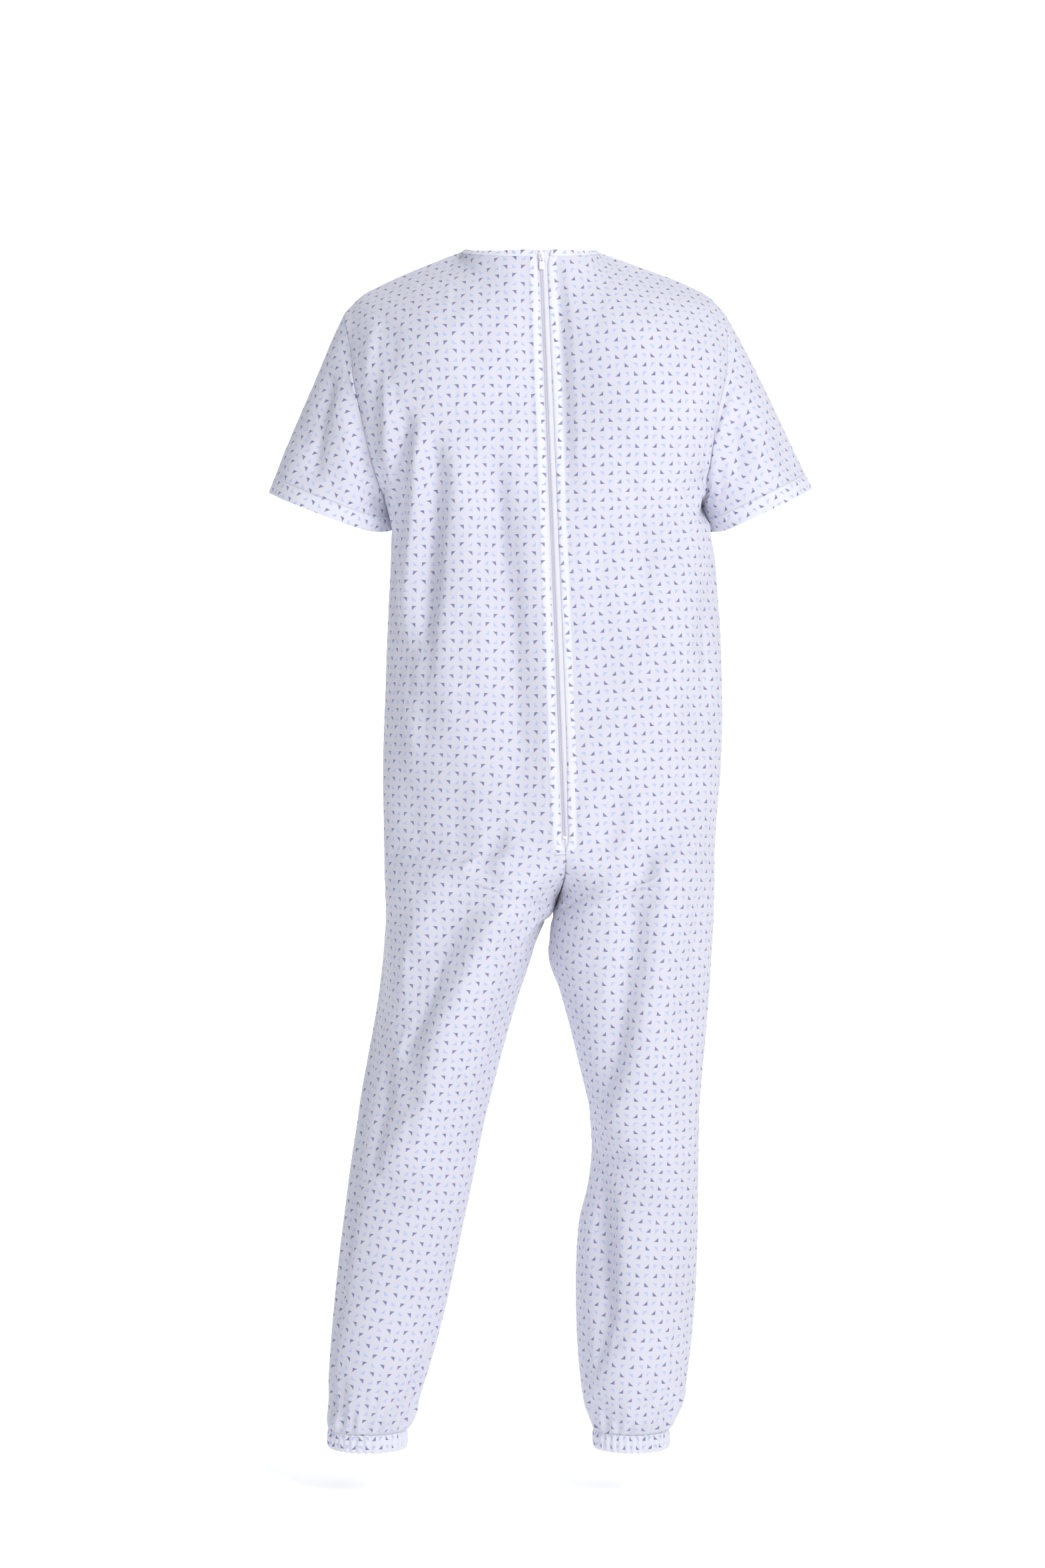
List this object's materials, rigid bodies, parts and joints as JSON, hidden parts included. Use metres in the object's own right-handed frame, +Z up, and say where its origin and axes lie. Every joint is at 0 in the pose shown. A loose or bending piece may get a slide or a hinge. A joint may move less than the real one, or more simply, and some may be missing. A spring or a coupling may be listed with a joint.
{
  "type": "back-zip patient suit",
  "caption": "One-piece printed cotton patient suit with short sleeves, long legs gathered at the cuffs, and a zip with a slider and pull down the middle of the back.",
  "frame": {"origin": "top end of the zip at the back of the neckline, where the wearer's neck holds the suit up", "axes": "+Z up along the suit's length, +X to the wearer's right hand, +Y the way the wearer faces, so the zip is on the -Y side"},
  "size_m": [0.6718, 0.2486, 1.4969],
  "materials": {
    "printed_cotton": "woven cotton with a small triangle print, soft sheen",
    "doubled_cotton": "the same cotton, two layers stitched",
    "zip_tape": "woven polyester tape",
    "zip_coil": "nylon coil",
    "elastic": "ribbed elastic",
    "zip_enamel": "white enamel on die-cast zinc"
  },
  "bodies": {
    "suit": {"left_back_panel": "printed_cotton", "right_back_panel": "printed_cotton", "left_front_panel": "printed_cotton", "right_front_panel": "printed_cotton", "left_sleeve": "printed_cotton", "right_sleeve": "printed_cotton", "left_sleeve_hem": "doubled_cotton", "right_sleeve_hem": "doubled_cotton", "neckband": "doubled_cotton", "left_leg_cuff": "doubled_cotton", "right_leg_cuff": "doubled_cotton", "left_cuff_elastic": "elastic", "right_cuff_elastic": "elastic", "left_zip_facing": "doubled_cotton", "right_zip_facing": "doubled_cotton", "left_zip_tape": "zip_tape", "right_zip_tape": "zip_tape", "left_zip_coil": "zip_coil", "right_zip_coil": "zip_coil", "left_top_stop": "zip_enamel", "right_top_stop": "zip_enamel", "bottom_stop": "zip_enamel"},
    "slider": {"zip_slider": "zip_enamel"},
    "pull": {"zip_pull": "zip_enamel"}
  },
  "joints": [
    {"name": "zip_slide", "type": "slide", "parent": "suit", "child": "slider", "axis": [0.0393, -0.0611, -0.9974], "range_m": [0, 0.705]},
    {"name": "pull_swing", "type": "hinge", "parent": "slider", "child": "pull", "pos_m": [0.00041, -0.10713, -0.01013], "axis": [-0.9992, -0.0024, -0.0393], "range_deg": [0, 165]}
  ]
}
